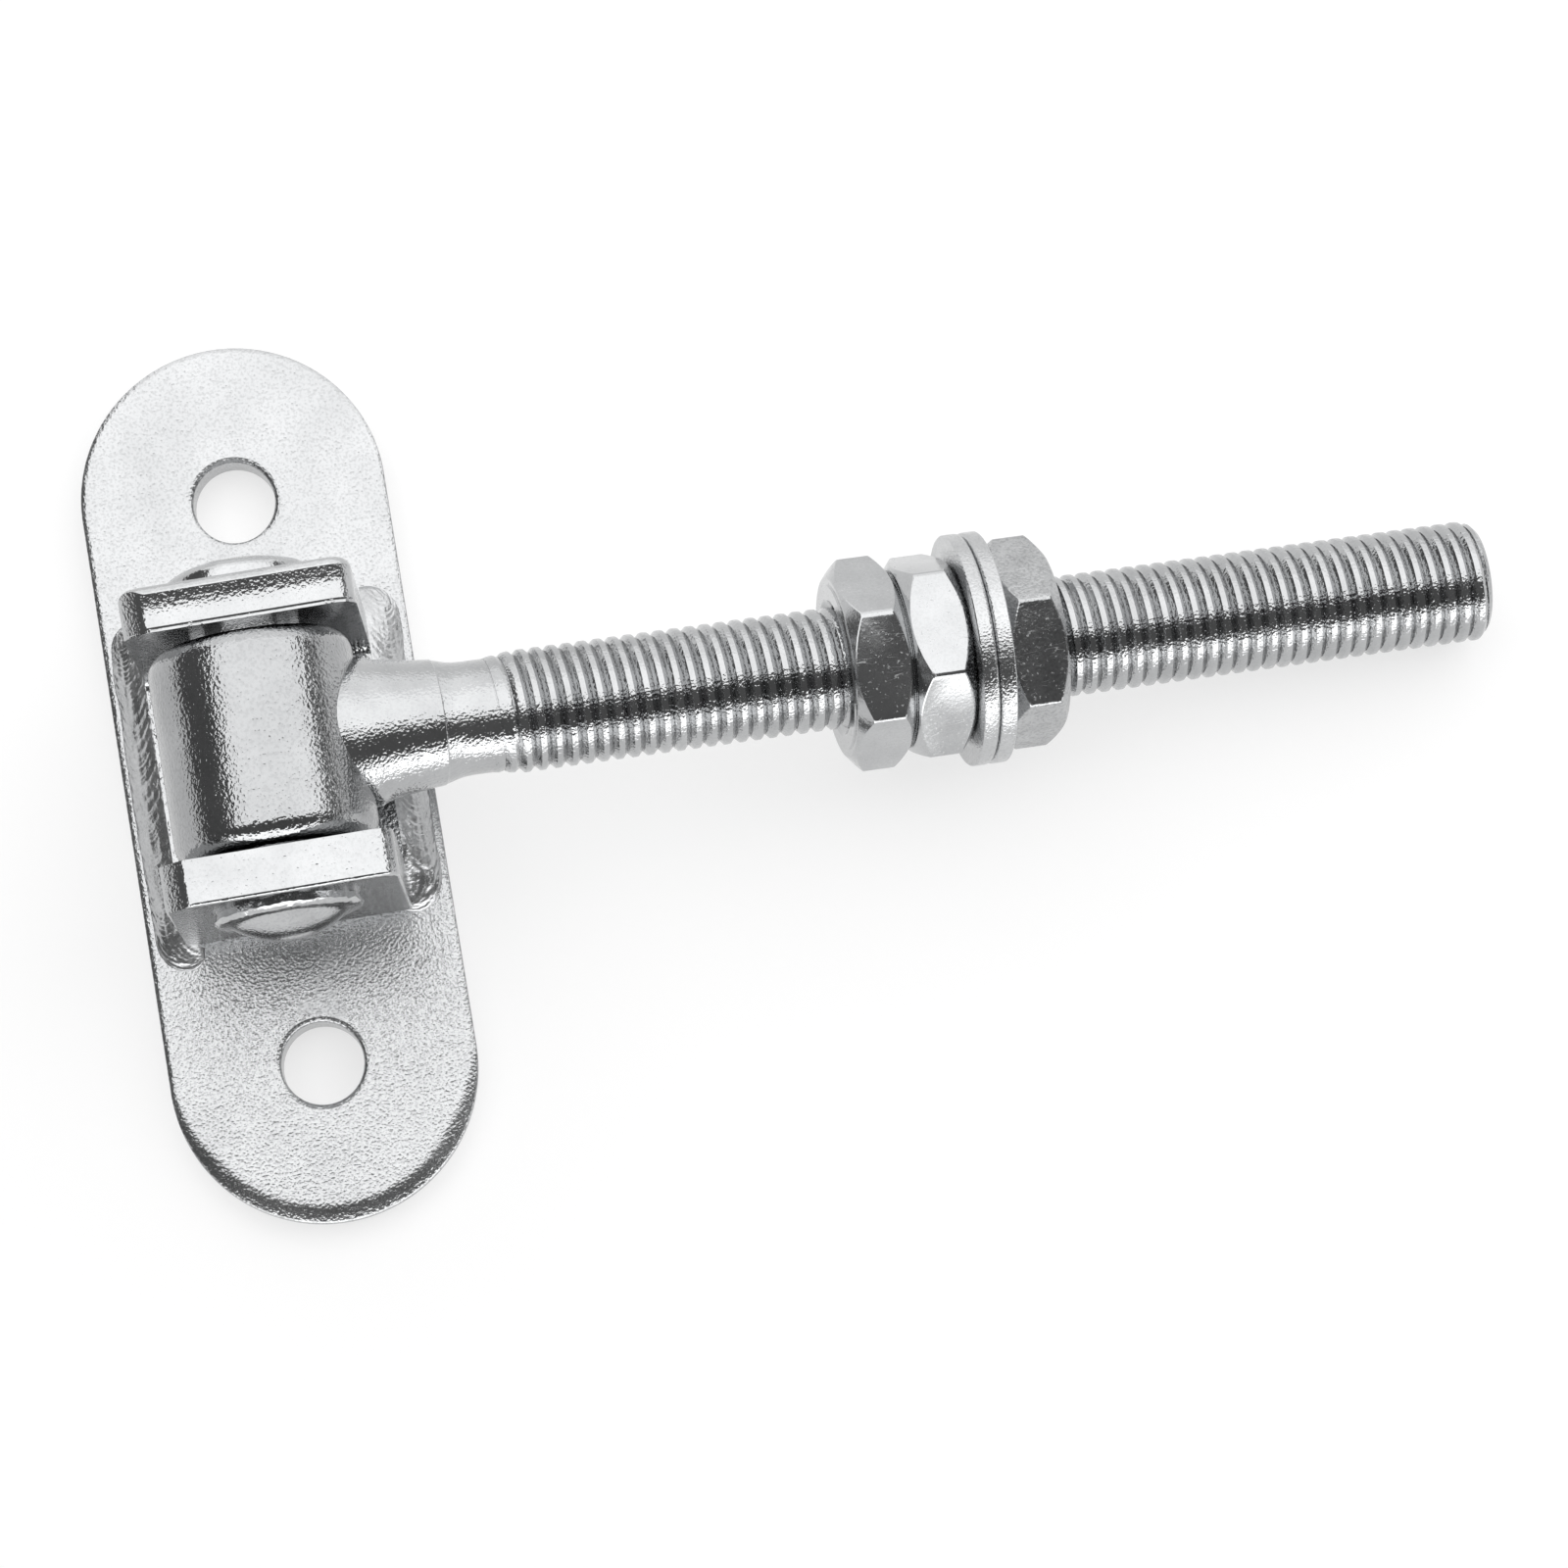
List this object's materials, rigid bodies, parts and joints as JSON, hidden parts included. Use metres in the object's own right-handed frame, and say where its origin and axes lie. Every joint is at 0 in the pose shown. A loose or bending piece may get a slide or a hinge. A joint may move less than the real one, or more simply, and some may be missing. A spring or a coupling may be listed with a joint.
{
  "type": "adjustable gate hinge",
  "caption": "Gate hinge: a riveted clevis welded to a round-ended mounting plate carries an eye bolt, whose threaded stud holds nuts and washers that set the gate's distance from the post.",
  "frame": {"origin": "centre of the mounting plate's back face, midway between its two holes", "axes": "+X along the threaded stud away from the plate, +Y along the hinge pin and the plate's long side, +Z out of the plate's front"},
  "size_m": [0.1795, 0.1166, 0.0448],
  "materials": {
    "plate_zinc": "bright zinc plate over a rolled strip, fine satin grain",
    "clevis_zinc": "bright zinc plate over a bent strip, satin",
    "weld_zinc": "bright zinc plate over rippled weld metal",
    "pin_zinc": "bright zinc plate over a riveted pin",
    "barrel_zinc": "bright zinc plate over a pebbly tube",
    "stud_zinc": "bright zinc plate over a rolled thread, glossy",
    "nut_zinc": "bright zinc plate, glossy with a fine speckle",
    "washer_zinc": "bright zinc plate, glossy"
  },
  "bodies": {
    "fixed_leaf": {"mounting_plate": "plate_zinc", "clevis_bracket": "clevis_zinc", "weld_bead_left": "weld_zinc", "weld_bead_right": "weld_zinc", "hinge_pin": "pin_zinc"},
    "eye_bolt": {"barrel": "barrel_zinc", "threaded_stud": "stud_zinc"},
    "inner_washer": {"inner_washer": "washer_zinc"},
    "inner_nut": {"inner_nut": "nut_zinc"},
    "lock_nut": {"lock_nut": "nut_zinc"},
    "outer_washer": {"outer_washer": "washer_zinc"},
    "outer_nut": {"outer_nut": "nut_zinc"}
  },
  "joints": [
    {"name": "gate_swing", "type": "hinge", "parent": "fixed_leaf", "child": "eye_bolt", "pos_m": [0, 0, 0.0318], "axis": [0, -1, 0], "range_deg": [0, 188.67]},
    {"name": "inner_washer_slide", "type": "slide", "parent": "eye_bolt", "child": "inner_washer", "axis": [-0.9886, 0, 0.1508], "range_m": [0, 0.03]},
    {"name": "inner_nut_turn", "type": "hinge", "parent": "inner_washer", "child": "inner_nut", "pos_m": [0, 0, 0.0318], "axis": [-0.9886, 0, 0.1508], "range_deg": [0, 5400]},
    {"name": "lock_nut_back_off", "type": "slide", "parent": "inner_nut", "child": "lock_nut", "axis": [-0.9886, 0, 0.1508], "range_m": [0, 0.01]},
    {"name": "outer_washer_slide", "type": "slide", "parent": "eye_bolt", "child": "outer_washer", "axis": [0.9886, 0, -0.1508], "range_m": [0, 0.05]},
    {"name": "outer_nut_turn", "type": "hinge", "parent": "outer_washer", "child": "outer_nut", "pos_m": [0, 0, 0.0318], "axis": [0.9886, 0, -0.1508], "range_deg": [0, 9000]}
  ],
  "couplings": [
    {"joint": "inner_washer_slide", "follows": "inner_nut_turn", "m_per_rad": 0.0003183},
    {"joint": "outer_washer_slide", "follows": "outer_nut_turn", "m_per_rad": 0.0003183}
  ]
}
